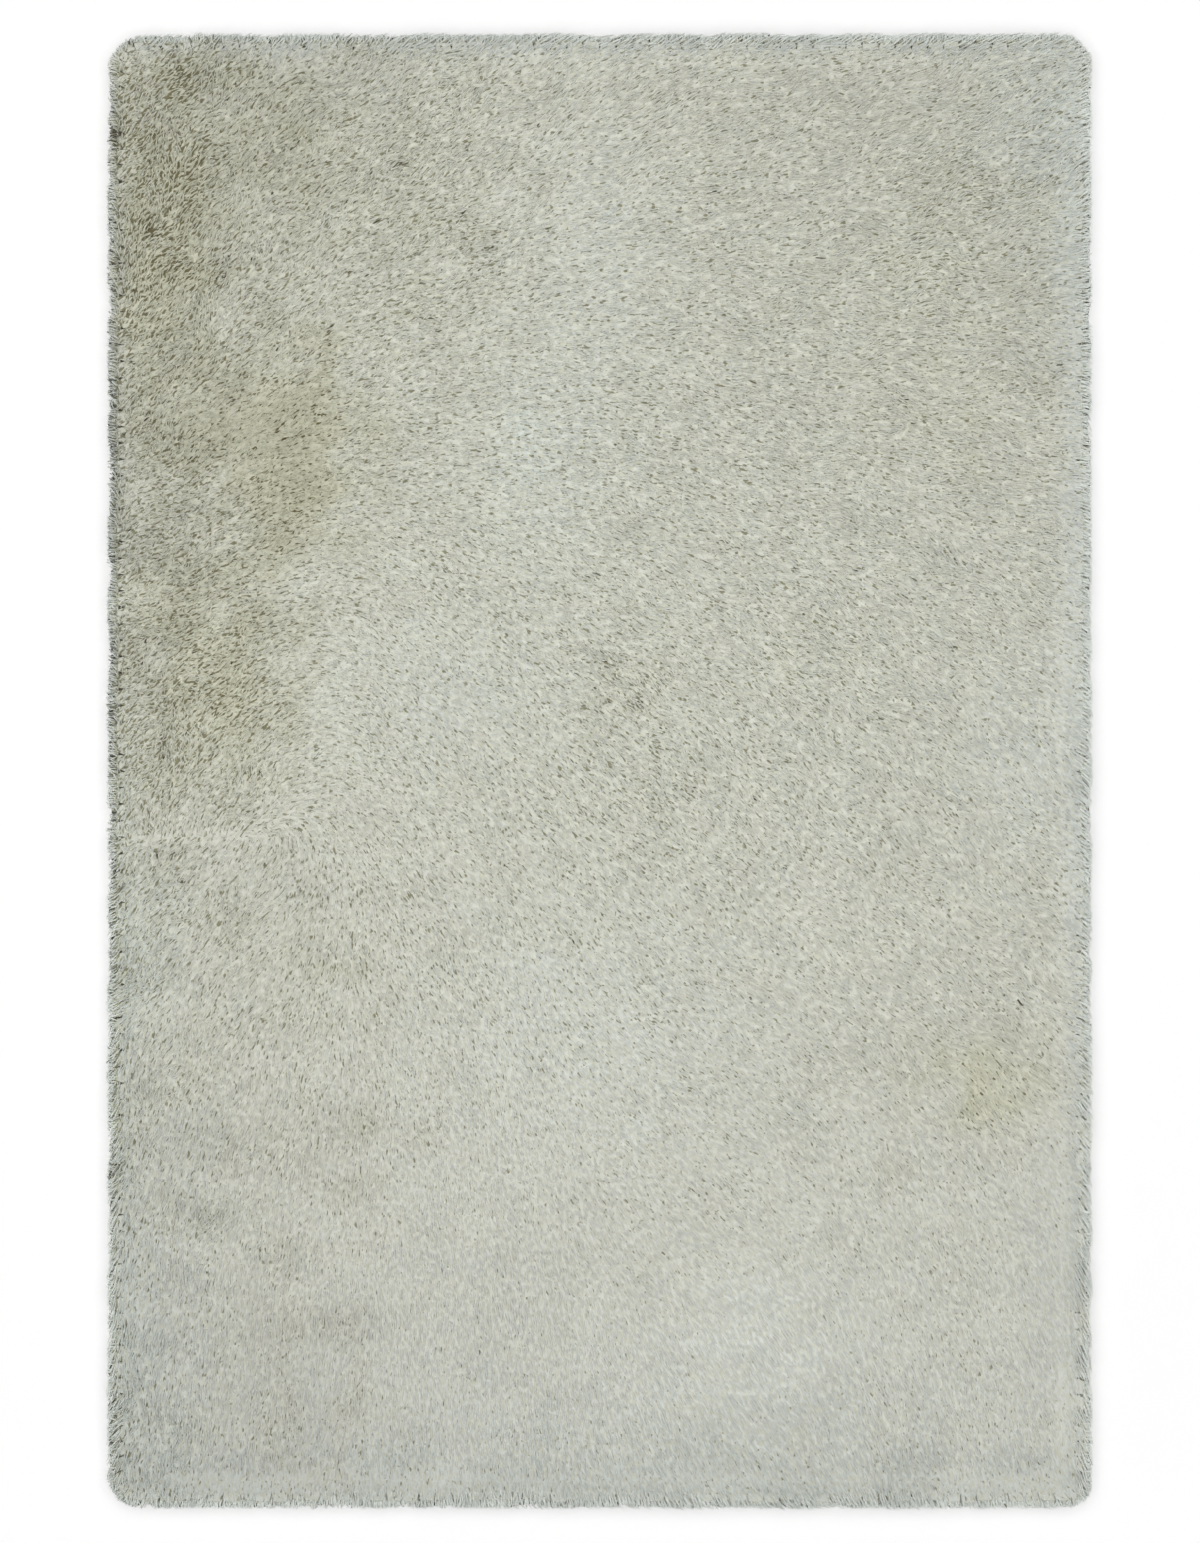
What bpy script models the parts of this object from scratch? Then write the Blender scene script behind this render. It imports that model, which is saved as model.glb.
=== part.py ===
"""A rectangular shag rug, lying flat: one lumpy slab of pile with locks of yarn round its rim.

The pile is one solid. Its top is a grid raised into soft lumps, its shoulder falls away in
rings, and each face of its rim is drawn out into a lock, which droops to the floor and stands
apart from its neighbours but for its root. X is the rug's width, Y its length and Z is up, with
the origin under its middle, on the floor.
"""

import math
import random

import bmesh
import bpy
from mathutils import Vector, noise

# Driving dimensions, in metres.
RUG_WIDTH = 1.200  # along X, from lock tips to lock tips
RUG_LENGTH = 1.800  # along Y
PILE_HEIGHT = 0.045  # the tallest lumps
LUMP_DEPTH = 0.014  # from the tallest lumps down to the deepest hollows
LUMP_SPANS = ((0.30, 0.45), (0.11, 0.55))  # length of a lump, share of the depth

# The outline's rounded corners: side in X, side in Y, radius.
CORNERS = (
    (-1, 1, 0.036),
    (1, 1, 0.032),
    (-1, -1, 0.036),
    (1, -1, 0.023),
)

# The grid on top. Each of its outer edges carries two locks, so the rim has 300 of them.
CELLS_ACROSS = 30
CELLS_ALONG = 45
LOCKS_PER_CELL = 2

# The shoulder, ring by ring, from the flat field to the rim that the locks leave: distance in
# from the outline, share of the pile's height there, and the ring's corner radius.
SHOULDER = (
    (0.052, 1.00, 0.008),
    (0.035, 0.94, 0.014),
    (0.019, 0.80, 0.018),
)
CORNER_FAN = 0.060  # how far from a corner the columns of the grid bend out towards it

# A lock, section by section: share of the way from its root to the outline, share of the room
# between its neighbours that it fills, and share of its root's height.
LOCK_SECTIONS = (
    (0.58, 0.80, 0.68),
    (1.00, 0.46, 0.23),
)
REACH_VARIES = 0.0035  # a lock falls short of the outline by up to this
SWING = 0.0022  # a lock's tip lies to one side by up to this
THICKNESS_VARIES = 0.15  # share of a lock's height by which it differs from the next

PILE_COLOUR = (0.51, 0.52, 0.44, 1.0)
PILE_ROUGHNESS = 0.95
SEED = 11


def clear_scene():
    for obj in list(bpy.data.objects):
        bpy.data.objects.remove(obj, do_unlink=True)


def pile_material():
    material = bpy.data.materials.new("cream_pile")
    material.use_nodes = True
    shader = material.node_tree.nodes["Principled BSDF"]
    shader.inputs["Base Color"].default_value = PILE_COLOUR
    shader.inputs["Roughness"].default_value = PILE_ROUGHNESS
    shader.inputs["Metallic"].default_value = 0.0
    return material


def corner_radius(x, y):
    side_x = 1 if x > 0 else -1
    side_y = 1 if y > 0 else -1
    return next(r for sx, sy, r in CORNERS if (sx, sy) == (side_x, side_y))


def pile_height(x, y):
    """The height of the pile's top at a point: soft lumps of two sizes, laid over each other."""
    hollow = 0.0
    for span, share in LUMP_SPANS:
        wave = noise.noise(Vector((x / span, y / span, span * SEED)))
        hollow += share * (0.5 + 0.5 * max(-1.0, min(1.0, 1.6 * wave)))
    return PILE_HEIGHT - LUMP_DEPTH * hollow


def spread(share, half, inset):
    """Where a column of the grid lies on a ring. Columns run straight out, but fan at a corner."""
    to_corner = half * (1.0 - abs(share))
    along = to_corner - inset * (1.0 - math.exp(-to_corner / CORNER_FAN))
    return math.copysign(half - inset - along, share)


def on_ring(flat, inset, radius):
    """A place on a ring, from its place on the rim of the square grid that runs from -1 to 1."""
    x = spread(flat.x, RUG_WIDTH / 2, inset)
    y = spread(flat.y, RUG_LENGTH / 2, inset)
    half_x = RUG_WIDTH / 2 - inset
    half_y = RUG_LENGTH / 2 - inset
    gap_x = half_x - abs(x)
    gap_y = half_y - abs(y)
    if max(gap_x, gap_y) < radius:
        # Off the corner's middle towards the side that the place is on, round the arc.
        angle = math.radians(45) * (1.0 + (gap_x - gap_y) / radius)
        x = math.copysign(half_x - radius + radius * math.cos(angle), x)
        y = math.copysign(half_y - radius + radius * math.sin(angle), y)
    return x, y


def rim_edges(bm):
    return [edge for edge in bm.edges if edge.is_boundary]


def verts_of(edges):
    return list(dict.fromkeys(vert for edge in edges for vert in edge.verts))


def place_ring(verts, flat, inset, share, radius):
    for vert in verts:
        x, y = on_ring(vert[flat], inset, radius)
        vert.co = (x, y, share * pile_height(x, y))


def make_slab(bm, flat):
    """The field, the shoulder, the wall under it and the flat underside. Returns the wall's faces."""
    bmesh.ops.create_grid(bm, x_segments=CELLS_ACROSS, y_segments=CELLS_ALONG, size=1.0)
    field_inset, _, _ = SHOULDER[0]
    for vert in bm.verts:
        vert[flat] = vert.co
        x = spread(vert.co.x, RUG_WIDTH / 2, field_inset)
        y = spread(vert.co.y, RUG_LENGTH / 2, field_inset)
        vert.co = (x, y, pile_height(x, y))
    place_ring(verts_of(rim_edges(bm)), flat, *SHOULDER[0])

    for row in SHOULDER[1:]:
        bmesh.ops.extrude_edge_only(bm, edges=rim_edges(bm))
        place_ring(verts_of(rim_edges(bm)), flat, *row)
    bmesh.ops.subdivide_edges(bm, edges=rim_edges(bm), cuts=LOCKS_PER_CELL - 1)
    place_ring(verts_of(rim_edges(bm)), flat, *SHOULDER[-1])

    bmesh.ops.extrude_edge_only(bm, edges=rim_edges(bm))
    for vert in verts_of(rim_edges(bm)):
        vert.co.z = 0.0
    wall = [face for edge in rim_edges(bm) for face in edge.link_faces]
    bmesh.ops.edgeloop_fill(bm, edges=rim_edges(bm))
    return wall


def on_outline(flat):
    """Where the rug's outline runs past a corner of a lock's root."""
    x, y = on_ring(flat, 0.0, corner_radius(flat.x, flat.y))
    return Vector((x, y, 0.0))


def draw_out_locks(bm, wall, flat, root):
    """Each face of the wall becomes a lock, which lies level on the floor along its underside."""
    chance = random.Random(SEED)
    for face in wall:
        for vert in face.verts:
            vert[root] = vert.co
    for face in wall:
        low = [vert for vert in face.verts if vert.co.z == 0.0]
        foot = (low[0].co + low[1].co) / 2
        end = (on_outline(low[0][flat]) + on_outline(low[1][flat])) / 2
        outward = (end - foot).normalized()
        short = outward * REACH_VARIES * chance.random() ** 1.5
        swing = outward.cross(Vector((0.0, 0.0, 1.0))) * chance.uniform(-SWING, SWING)
        thick = 1.0 + chance.uniform(-THICKNESS_VARIES, THICKNESS_VARIES)
        for out_share, fill, height_share in LOCK_SECTIONS:
            face = bmesh.ops.extrude_discrete_faces(bm, faces=[face])["faces"][0]
            middle = foot.lerp(end, out_share)
            for vert in face.verts:
                start = Vector((vert[root].x, vert[root].y, 0.0))
                side = start.lerp(on_outline(vert[flat]), out_share)
                vert.co = middle.lerp(side, fill) + (swing - short) * out_share
                vert.co.z = vert[root].z * height_share * thick


def set_to_size(bm):
    """The tips fall a little short of the outline. This sets the whole to the rug's exact size."""
    for axis, size in ((0, RUG_WIDTH), (1, RUG_LENGTH)):
        low = min(vert.co[axis] for vert in bm.verts)
        high = max(vert.co[axis] for vert in bm.verts)
        for vert in bm.verts:
            vert.co[axis] = (vert.co[axis] - (low + high) / 2) * size / (high - low)


def make_rug():
    collection = bpy.data.collections.new("shag_rug")
    bpy.context.scene.collection.children.link(collection)
    bm = bmesh.new()
    flat = bm.verts.layers.float_vector.new("flat")
    root = bm.verts.layers.float_vector.new("root")
    draw_out_locks(bm, make_slab(bm, flat), flat, root)
    set_to_size(bm)
    bmesh.ops.recalc_face_normals(bm, faces=bm.faces)
    mesh = bpy.data.meshes.new("shag_rug")
    bm.to_mesh(mesh)
    bm.free()
    rug = bpy.data.objects.new("shag_rug", mesh)
    rug.data.materials.append(pile_material())
    collection.objects.link(rug)
    return rug


clear_scene()
make_rug()
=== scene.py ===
"""The looks of a rectangular shag rug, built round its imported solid.

The pile is made of single tapered, twisted yarns that leave a bed of packed yarn, over a thin
woven backing. They are combed by zones, lean outwards at the rim, and keep to the lumpy top of the
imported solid.
"""

import math
from collections import namedtuple

import bmesh
import bpy
import numpy as np
from bpy.props import FloatProperty, FloatVectorProperty, PointerProperty
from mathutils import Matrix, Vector
from mathutils.bvhtree import BVHTree


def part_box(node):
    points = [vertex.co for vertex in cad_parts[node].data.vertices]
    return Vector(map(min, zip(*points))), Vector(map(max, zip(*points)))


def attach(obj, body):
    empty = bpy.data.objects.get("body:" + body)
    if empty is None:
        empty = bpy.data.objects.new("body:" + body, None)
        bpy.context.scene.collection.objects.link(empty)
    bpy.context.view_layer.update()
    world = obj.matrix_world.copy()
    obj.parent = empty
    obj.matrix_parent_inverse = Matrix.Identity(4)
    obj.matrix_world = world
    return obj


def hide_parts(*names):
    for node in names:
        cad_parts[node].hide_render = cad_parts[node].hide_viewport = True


bl_info = {
    "name": "Shag rug",
    "version": (1, 0, 0),
    "blender": (4, 5, 0),
    "location": "3D View > Sidebar > Rug",
    "description": "Builds a combed shag pile, its backing and a plain studio",
    "category": "Add Mesh",
}

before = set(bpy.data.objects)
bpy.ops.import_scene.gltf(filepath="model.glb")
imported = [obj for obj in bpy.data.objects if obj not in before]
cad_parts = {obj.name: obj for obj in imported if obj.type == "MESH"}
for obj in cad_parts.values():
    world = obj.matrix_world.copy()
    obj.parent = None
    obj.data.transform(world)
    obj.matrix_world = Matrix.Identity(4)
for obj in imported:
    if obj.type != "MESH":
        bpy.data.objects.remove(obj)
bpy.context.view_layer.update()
RUG_LOW, RUG_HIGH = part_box("shag_rug")
SIDE_FULLNESS = 0.001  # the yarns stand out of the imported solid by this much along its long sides
HALF_WIDTH = (RUG_HIGH[0] - RUG_LOW[0]) / 2 + SIDE_FULLNESS
HALF_LENGTH = (RUG_HIGH[1] - RUG_LOW[1]) / 2

# The rug's rounded corners: side in X, side in Y, radius in metres.
Corner = namedtuple("Corner", "side_x side_y radius")
CORNERS = (
    Corner(-1, 1, 0.047),
    Corner(1, 1, 0.036),
    Corner(-1, -1, 0.039),
    Corner(1, -1, 0.030),
)

# The pile falls away to its rim: distance in from the outline, share of the pile's height.
DOME = (
    (0.000, 0.62),
    (0.002, 0.76),
    (0.006, 0.88),
    (0.014, 0.96),
    (0.028, 0.99),
    (0.052, 1.00),
)
DOME_WIDTH = DOME[-1][0]

# How the pile is combed, zone by zone: place in metres from the rug's middle, how far the zone
# reaches, the way the tips point (degrees, 0 along X, 90 along Y) and how far they lean over.
COMBED = (
    (-0.46, 0.78, 0.15, 40, 0.5),
    (-0.25, 0.78, 0.15, 28, 0.62),
    (0.0, 0.8, 0.15, 33, 0.72),
    (0.22, 0.78, 0.15, 10, 0.72),
    (0.46, 0.8, 0.15, 24, 0.75),
    (-0.46, 0.58, 0.15, 52, 0.46),
    (-0.2, 0.6, 0.15, 17, 0.52),
    (0.05, 0.6, 0.15, 0, 0.66),
    (0.35, 0.6, 0.15, 3, 0.74),
    (-0.44, 0.4, 0.15, 25, 0.48),
    (-0.2, 0.4, 0.15, 358, 0.52),
    (0.1, 0.42, 0.15, 342, 0.66),
    (0.42, 0.42, 0.15, 350, 0.78),
    (-0.46, 0.2, 0.13, 20, 0.44),
    (-0.2, 0.18, 0.13, 322, 0.52),
    (0.08, 0.18, 0.15, 334, 0.6),
    (0.42, 0.2, 0.15, 332, 0.74),
    (-0.46, 0.0, 0.13, 60, 0.3),
    (-0.15, -0.02, 0.15, 318, 0.5),
    (0.15, -0.04, 0.15, 316, 0.56),
    (0.44, -0.04, 0.15, 318, 0.7),
    (-0.45, -0.2, 0.13, 236, 0.52),
    (-0.16, -0.26, 0.15, 300, 0.5),
    (0.15, -0.28, 0.15, 322, 0.6),
    (0.46, -0.3, 0.15, 322, 0.7),
    (-0.45, -0.45, 0.15, 255, 0.62),
    (-0.15, -0.5, 0.15, 282, 0.58),
    (0.12, -0.52, 0.15, 318, 0.66),
    (0.42, -0.55, 0.15, 298, 0.76),
    (-0.42, -0.75, 0.15, 263, 0.8),
    (-0.1, -0.76, 0.15, 276, 0.84),
    (0.16, -0.76, 0.15, 302, 0.84),
    (0.44, -0.78, 0.15, 288, 0.86),
)

# Where the pile stands apart and shows its roots, and where it is tinted and dimmed by faint stains
# and painted light and shade: place and reach in metres, then how much it adds to the openness, the
# warmth (faint stains and painted shade; below 0 it is cooler, a painted sheen) and the dimness
# (faint stains and painted shade). Patches lie over each other.
PATCHES = (
    (0.0, 0.65, 0.8, 0.45, 0.4, -0.15, -0.35),
    (0.05, 0.08, 0.7, 0.34, 0.3, -0.3, -0.6),
    (0.12, -0.68, 0.7, 0.34, -0.8, -0.25, -0.05),
    (-0.56, 0.5, 0.14, 0.6, 1.55, 0.35, 0.5),
    (-0.55, 0.83, 0.09, 0.07, 0.9, 0.15, 0.05),
    (-0.54, 0.67, 0.07, 0.11, 0.9, 0.55, -0.4),
    (-0.38, 0.78, 0.09, 0.11, 0.15, 0.5, 0.7),
    (-0.53, 0.54, 0.07, 0.07, -0.3, 0.2, -0.15),
    (-0.47, 0.42, 0.09, 0.07, -0.9, 0.65, 0.95),
    (-0.36, 0.39, 0.07, 0.11, 0.05, 1.45, 0.8),
    (-0.55, 0.31, 0.06, 0.07, -0.3, -0.15, 0.0),
    (-0.5, 0.2, 0.09, 0.07, 0.1, 0.4, 0.0),
    (-0.45, 0.09, 0.07, 0.07, 1.1, 0.65, -0.65),
    (-0.54, 0.02, 0.07, 0.05, 0.6, -0.05, -0.65),
    (-0.23, 0.7, 0.1, 0.15, 0.8, 0.1, -0.2),
    (0.34, 0.81, 0.11, 0.07, -0.1, 0.15, 0.55),
    (0.52, 0.81, 0.07, 0.1, 0.1, -0.55, 0.1),
    (0.41, 0.61, 0.11, 0.07, 0.45, 0.05, -0.45),
    (0.42, 0.45, 0.11, 0.09, 0.05, 0.3, -0.05),
    (0.0, 0.64, 0.07, 0.15, -0.55, -0.35, -0.2),
    (-0.07, 0.39, 0.07, 0.11, -0.25, -0.55, -0.35),
    (-0.18, 0.09, 0.1, 0.07, -0.4, -0.35, 0.0),
    (0.03, 0.1, 0.06, 0.06, 0.55, 0.15, -0.2),
    (0.28, 0.15, 0.11, 0.07, 0.25, 0.1, -0.15),
    (0.07, -0.04, 0.11, 0.06, 0.4, 0.0, -0.2),
    (0.53, 0.01, 0.07, 0.11, -0.6, -0.4, -0.1),
    (0.33, -0.2, 0.13, 0.07, -0.15, 0.05, -0.35),
    (0.48, -0.38, 0.1, 0.06, 0.2, 0.8, 0.0),
    (-0.38, -0.13, 0.09, 0.07, 0.0, 0.0, 0.4),
    (-0.56, -0.22, 0.06, 0.12, 0.25, -0.7, -0.25),
    (-0.51, -0.49, 0.07, 0.09, 0.2, -0.3, 0.55),
    (-0.55, -0.68, 0.07, 0.11, -0.15, -0.75, 0.7),
    (-0.33, -0.46, 0.09, 0.07, -0.05, 0.2, 0.55),
    (-0.02, -0.32, 0.17, 0.14, -0.1, -0.5, -0.55),
    (0.2, -0.7, 0.13, 0.09, -1.1, -0.35, -0.85),
    (-0.15, -0.62, 0.15, 0.13, -0.8, -0.1, 0.2),
    (0.56, -0.62, 0.06, 0.18, -1.3, -0.35, 0.3),
    (-0.57, -0.86, 0.07, 0.05, 0.5, -0.35, 0.4),
    (0.0, -0.88, 0.74, 0.04, -0.2, -0.55, 0.95),
    (0.0, 0.9, 0.74, 0.02, -0.7, -1.25, 1.35),
    (-0.6, 0.45, 0.02, 0.43, 0.1, -0.65, 1.0),
    (-0.6, -0.4, 0.03, 0.49, 1.1, -1.3, 0.05),
    (0.59, 0.2, 0.02, 0.6, -1.1, -1.2, 0.35),
    (-0.36, -0.82, 0.09, 0.05, 0.15, 0.35, 0.75),
    (-0.4, 0.25, 0.06, 0.05, -0.15, 0.4, 0.45),
    (0.45, 0.71, 0.07, 0.05, 0.7, 0.15, -0.1),
    (0.09, -0.88, 0.12, 0.03, -0.25, 0.2, -0.6),
    (-0.58, -0.8, 0.06, 0.08, 0.7, -0.2, 0.25),
    (-0.31, 0.86, 0.1, 0.05, 0.1, -0.05, 0.6),
    (-0.38, -0.7, 0.1, 0.1, -0.05, 0.15, 1.05),
    (-0.34, -0.24, 0.08, 0.06, 0.25, 0.2, 0.2),
    (0.55, 0.57, 0.07, 0.11, 0.05, -0.05, 0.45),
    (-0.1, -0.86, 0.8, 0.13, -0.25, -0.6, 0.4),
    (0.0, -0.91, 0.74, 0.02, -0.05, -0.35, -0.2),
    (0.58, 0.72, 0.04, 0.16, -0.1, -0.8, 0.0),
    (-0.58, 0.75, 0.03, 0.05, 0.15, 0.0, 0.35),
    (-0.41, 0.01, 0.04, 0.04, 0.2, 0.25, 0.2),
    (-0.46, -0.88, 0.05, 0.03, 0.1, -0.2, 0.25),
    (-0.37, 0.15, 0.04, 0.05, -0.05, 0.2, 0.3),
    (-0.26, 0.35, 0.04, 0.05, 0.15, 0.1, 0.2),
    (0.03, -0.77, 0.06, 0.04, -0.1, -0.1, -0.4),
)

# Small soiled spots, where dark strands lie among the clean ones: place and reach in metres, and
# the share of the strands in the middle of the spot that are soiled.
SPOTS = (
    (-0.590, 0.775, 0.008, 1.0),
    (-0.546, 0.740, 0.009, 0.5),
    (-0.546, 0.663, 0.009, 0.7),
    (-0.590, 0.689, 0.006, 0.6),
    (-0.590, 0.620, 0.007, 0.8),
    (-0.588, 0.591, 0.006, 0.7),
    (-0.590, 0.521, 0.007, 0.7),
    (-0.592, 0.466, 0.006, 0.6),
    (-0.516, 0.851, 0.009, 0.5),
    (-0.458, 0.624, 0.008, 0.7),
    (-0.465, 0.593, 0.007, 0.6),
    (-0.252, 0.731, 0.007, 0.6),
    (-0.140, 0.635, 0.006, 0.5),
    (0.557, 0.498, 0.006, 0.5),
    (-0.380, 0.404, 0.007, 0.5),
    (-0.591, 0.069, 0.007, 1.0),
    (-0.566, 0.133, 0.007, 0.5),
    (-0.535, 0.028, 0.008, 0.7),
    (-0.385, 0.084, 0.007, 0.6),
    (0.043, 0.090, 0.009, 0.8),
    (-0.003, 0.138, 0.010, 0.3),
    (0.153, -0.115, 0.006, 0.6),
    (0.237, -0.135, 0.006, 0.5),
    (0.124, -0.264, 0.007, 0.6),
    (0.283, -0.562, 0.010, 0.5),
    (-0.592, -0.485, 0.010, 0.5),
    (-0.592, -0.812, 0.007, 0.6),
)

# The rim is closed by rows of yarns that lean out of the pile: how far in from the outline they
# leave it, how far in their tips end, the tips' height and the gap between neighbours, in metres,
# and the share of dark yarns, painted shade in the rim's notches, where the pile is open.
RIM_ROWS = (
    (0.009, 0.0000, 0.0015, 0.0029, 0.14),
    (0.010, 0.0002, 0.009, 0.0025, 0.12),
    (0.011, 0.0007, 0.018, 0.0024, 0.04),
    (0.013, 0.0024, 0.026, 0.0024, 0.04),
)

# The loose end of a yarn, ring by ring: share of the way along it, share of its thickness. It
# ends in a point.
Ring = namedtuple("Ring", "along thick")
RINGS = (Ring(0.0, 1.00), Ring(0.76, 0.88))
SIDES = 3
MAP_STEP = 0.618  # from one yarn's place in the fibres' noise to the next one's
MAP_SHAPE = 3.2  # how many times as many yarns lie across the baking map as up it
PILE_PIECES = ("pile_foot", "pile_lower", "pile_middle", "pile_upper", "pile_head")

SEED = 20

# Names that end in ENDS hold a low and a high value. Those in WAVE hold how far a drift over the
# rug goes either way, and the length of its waves in metres.
WAVES = 14  # how many waves of about one length make up a drift
WAVE_ENDS = (0.7, 1.5)  # shares of that length

PATCH_WANDER = 0.20  # how far a patch's edge wanders, as a share of its reach
PATCH_WAVES = ((1.0, 0.10), (0.5, 0.04))
STAIN_AND_SHADE = 0.11  # how much darker a patch of dimness 1 is, by faint stains and painted shade
SOIL = 0.4  # how much darker the bed is under a soiled spot

# How the field's yarns stand. Angles are in radians, lengths in metres, and the rest are shares.
ROOT_STRAY = 0.38  # of the pitch
ROOT_HEIGHT = 0.60  # of the pile's
TIP_HEIGHT = 0.97  # of the pile's
OPEN_ENDS = (-1.0, 1.5)
UNREST = 0.6  # how far the yarns stray from the lay where the pile is closed
OPEN_UNREST = 0.5
HEADING_WAVES = ((0.24, 0.090), (0.06, 0.028))
HEADING_SPREAD = 0.26
LEAN_WAVE = (0.10, 0.06)
LEAN_SPREAD = 0.20
LEAN_ENDS = (0.36, 1.2)
OPEN_LEAN = 0.25  # yarns lean this much less where the pile is open
RIM_PUSH = 0.009
RIM_PUSH_ENDS = (0.004, 0.024)  # the push fades away between these distances from the outline
SWAY = 0.0008
SWAY_WAVE = (1.0, 0.014)
TIP_STRAY = 0.0009
TIP_SHORT = 0.0030  # a tip ends up to this short of the rim
SUNK = 0.035  # tips end up to this share lower
OPEN_SUNK = 0.09
DROOP = 0.48  # tips that are held back at the rim hang down by up to this share
DROOP_REACH = 0.020
DROOP_ENDS = (0.2, 1.0)

# The dark yarns, which stand upright and deep in the small pits of an open pile: painted shade
# of the pits, and soiled strands at the spots.
DARK_SHARE = 0.004
OPEN_DARK_SHARE = 0.024
DARK_WAVE = (0.4, 0.030)
DARK_LEAN_ENDS = (0.30, 1.00)  # of the lean that they would otherwise have
DARK_SUNK = 0.12
DARK_THICK_ENDS = (0.60, 1.30)
DARK_SHADE_ENDS = (0.18, 0.74)
DARK_WARMTH = 0.3

# The walk round the outline, and how the rim's yarns stand.
ARC_POINTS = 13
JUST_INSIDE = 0.9999
BULGE = 0.0017  # the rim swells and draws in by this much
BULGE_WAVES = ((1.0, 0.060), (0.7, 0.022))
BULGE_ENDS = (-0.7, 2.5)
RIM_SWAY_WAVE = (0.0022, 0.016)
RIM_SWAY_SPREAD = 0.0018
RIM_ROOT_STRAY = 0.0015
RIM_ROOT_HEIGHT = 0.6  # of the tip's
RIM_HEIGHT_ENDS = (0.82, 1.14)
RIM_DARK_BASE = 0.1
RIM_DARK_ENDS = (0.02, 1.5)

# How a yarn bends over, how thick it is and how it is tinted.
BEND_ENDS = (0.30, 0.48)  # the bend lies between these shares of the way to the tip
BEND_STRAY = 0.0010
BEND_HEIGHT = 0.88  # the least, as a share of the pile's
BEND_RISE_ENDS = (1.00, 1.05)
BEND_LIFT = 0.0008
THICK_ENDS = (0.76, 1.16)
WARM_WAVE = (0.12, 0.050)
WARM_SPREAD = 0.12
# The cooler tint round the rim is a painted sheen.
COOL_SHEEN_RIM = 0.50
COOL_SHEEN_RIM_ENDS = (0.010, 0.036)
SHADE_WAVE = (0.016, 0.11)
SHADE_SPREAD = 0.053
RIM_PAINTED_LIGHT = 0.22  # painted light: the outermost ends are this much paler, against the shade at the rim
RIM_PAINTED_LIGHT_ENDS = (0.004, 0.020)
LOWEST = 0.0002  # no yarn lies lower

# How even the shading is: more so on a closed pile and at the rim.
CLOSED_EVEN = 0.10
OPEN_EVEN = 0.28
RIM_EVEN = 0.12
RIM_EVEN_ENDS = (0.006, 0.026)
EVEN_ENDS = (0.2, 0.9)
TIP_EVEN = 0.3

# The yarn's looks.
PLIES = 2.0
TWISTS = 5.0
FIBRES_AROUND = 18.0
FIBRE_TWISTS = 12.0
FIBRES_ALONG = 4.0
YARN_TONE = 0.89
PLY_TONE = 0.05
FIBRE_TONE = 0.16
ROOT_SHADE_ENDS = (0.10, 0.60)  # painted shade at the root fades between these shares of the way
SOIL_AND_SHADE_ENDS = (0.25, 0.80)  # yarns shaded less than this take the painted shade of the hollows
SOIL_AND_SHADE_TONE = 1.9  # their shade darkens them too, and this takes it back in part

# The bed's looks: strands and partings in a metre, along the lay and across it. Painted shade lies
# between the strands and in the partings.
STRANDS_ALONG = 95.0
STRANDS_ACROSS = 330.0
STRAND_ENDS = (0.30, 0.62)
PARTINGS_ALONG = 100.0
PARTINGS_ACROSS = 290.0
PARTINGS_SHIFT = 7.0
PARTING_ENDS = (0.58, 0.77)
OPEN_PARTED = 0.07

# The bed's shape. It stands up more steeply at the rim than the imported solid's locks: how far in
# from the outline, and how many times as high.
BED_RAISED = ((0.0, 2.60), (0.008, 1.65), (0.019, 1.20), (0.052, 1.0))
BED_FOOT = 0.0016
FIELD_UPRIGHT = 0.9  # the field's cells face up more than this, and are larger than the next
FIELD_CELL = 0.0005
BED_SQUEEZE = 0.060  # it is drawn in over this width
BED_OPEN_ENDS = (-0.6, 1.5)
BED_TURNS = 0.12  # how far its faces' strands turn away from the lay

# The backing's threads and its edge.
THREAD_GRAIN = 340.0
CLOTH_ARC_STEPS = 6
CLOTH_LEAST_RADIUS = 0.004
CLOTH_EASED = 0.0008

# The floor runs out to a low wall all round, ring by ring: how far out, how high, and how much more
# light it gives off there, where little of the light overhead reaches.
STAGE_RINGS = (
    (3.0, 0.0, 0.00),
    (6.0, 0.0, 0.18),
    (10.0, 0.0, 0.38),
    (15.0, 0.0, 0.50),
    (31.0, 0.0, 0.58),
    (33.0, 1.0, 0.58),
    (34.0, 7.2, 0.58),
)
STAGE_SIDES = 96
FLOOR_DROP = -0.0002
KEY_PLACE = Vector((-0.05, 0.15, 6.5))
KEY_SIZE = 10.0
BLACK = (0.0, 0.0, 0.0)
WHITE = (1.0, 1.0, 1.0)

# The photo's shape, and where the camera stands over the rug.
IMAGE_WIDTH = 1200
IMAGE_HEIGHT = 1543
SENSOR = 36.0
RUG_OFF_CENTRE = Vector((0.0005, -0.0003, 0.0))
CAMERA_SIGHT = 50.0


# ---- settings


def a_number(name, default, description, **kind):
    return FloatProperty(name=name, description=description, default=default, **kind)


def a_length(name, default, description, **limits):
    return a_number(name, default, description, unit="LENGTH", **limits)


def a_share(name, default, description):
    return a_number(name, default, description, min=0.0, max=1.0, subtype="FACTOR")


def a_colour(name, default, description):
    return FloatVectorProperty(
        name=name, description=description, default=default, subtype="COLOR", size=3
    )


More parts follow.
